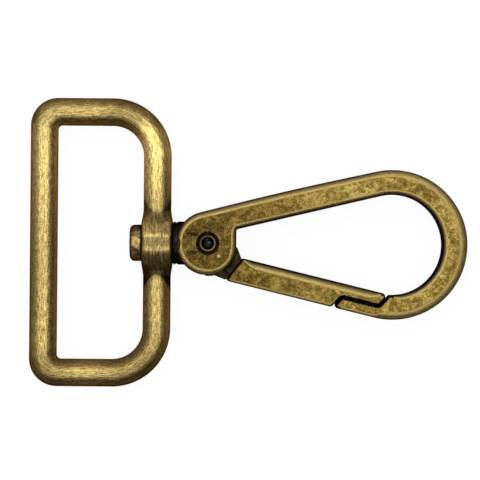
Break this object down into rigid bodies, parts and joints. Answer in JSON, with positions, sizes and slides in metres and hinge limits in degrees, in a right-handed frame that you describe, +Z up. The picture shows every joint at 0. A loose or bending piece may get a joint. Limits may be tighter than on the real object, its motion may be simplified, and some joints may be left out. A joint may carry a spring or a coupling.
{
  "type": "swivel snap hook",
  "caption": "Swivel snap hook with a rectangular strap loop, a spring gate that opens inwards and an antique brass finish.",
  "frame": {"origin": "on the surface that the hook lies on, under the middle of its outline", "axes": "+X along the swivel axis from the strap loop to the hook's round end, +Z up from the surface that it lies on"},
  "size_m": [0.0709, 0.047, 0.008],
  "materials": {
    "antique_brass_loop": "zinc casting with antique brass plating, rubbed bright on its crowns",
    "antique_brass_hook": "zinc casting with antique brass plating, mottled on its flats",
    "dark_pin": "steel pin with dark plating",
    "spring_steel": "drawn spring wire"
  },
  "bodies": {
    "hook": {"hook_body": "antique_brass_hook", "swivel_post": "antique_brass_loop", "gate_pin": "dark_pin", "gate_spring": "spring_steel"},
    "ring": {"ring": "antique_brass_loop"},
    "gate": {"gate": "antique_brass_hook"}
  },
  "joints": [
    {"name": "swivel", "type": "hinge", "parent": "hook", "child": "ring", "pos_m": [-0.0148, 0, 0.004], "axis": [1, 0, 0], "continuous": true},
    {"name": "gate_hinge", "type": "hinge", "parent": "hook", "child": "gate", "pos_m": [-0.00655, 0, 0.004], "axis": [0, 0, 1], "range_deg": [0, 30], "stiffness_Nm_per_rad": 0.06, "springref_deg": -57.3, "deforming": ["gate_spring"]}
  ]
}
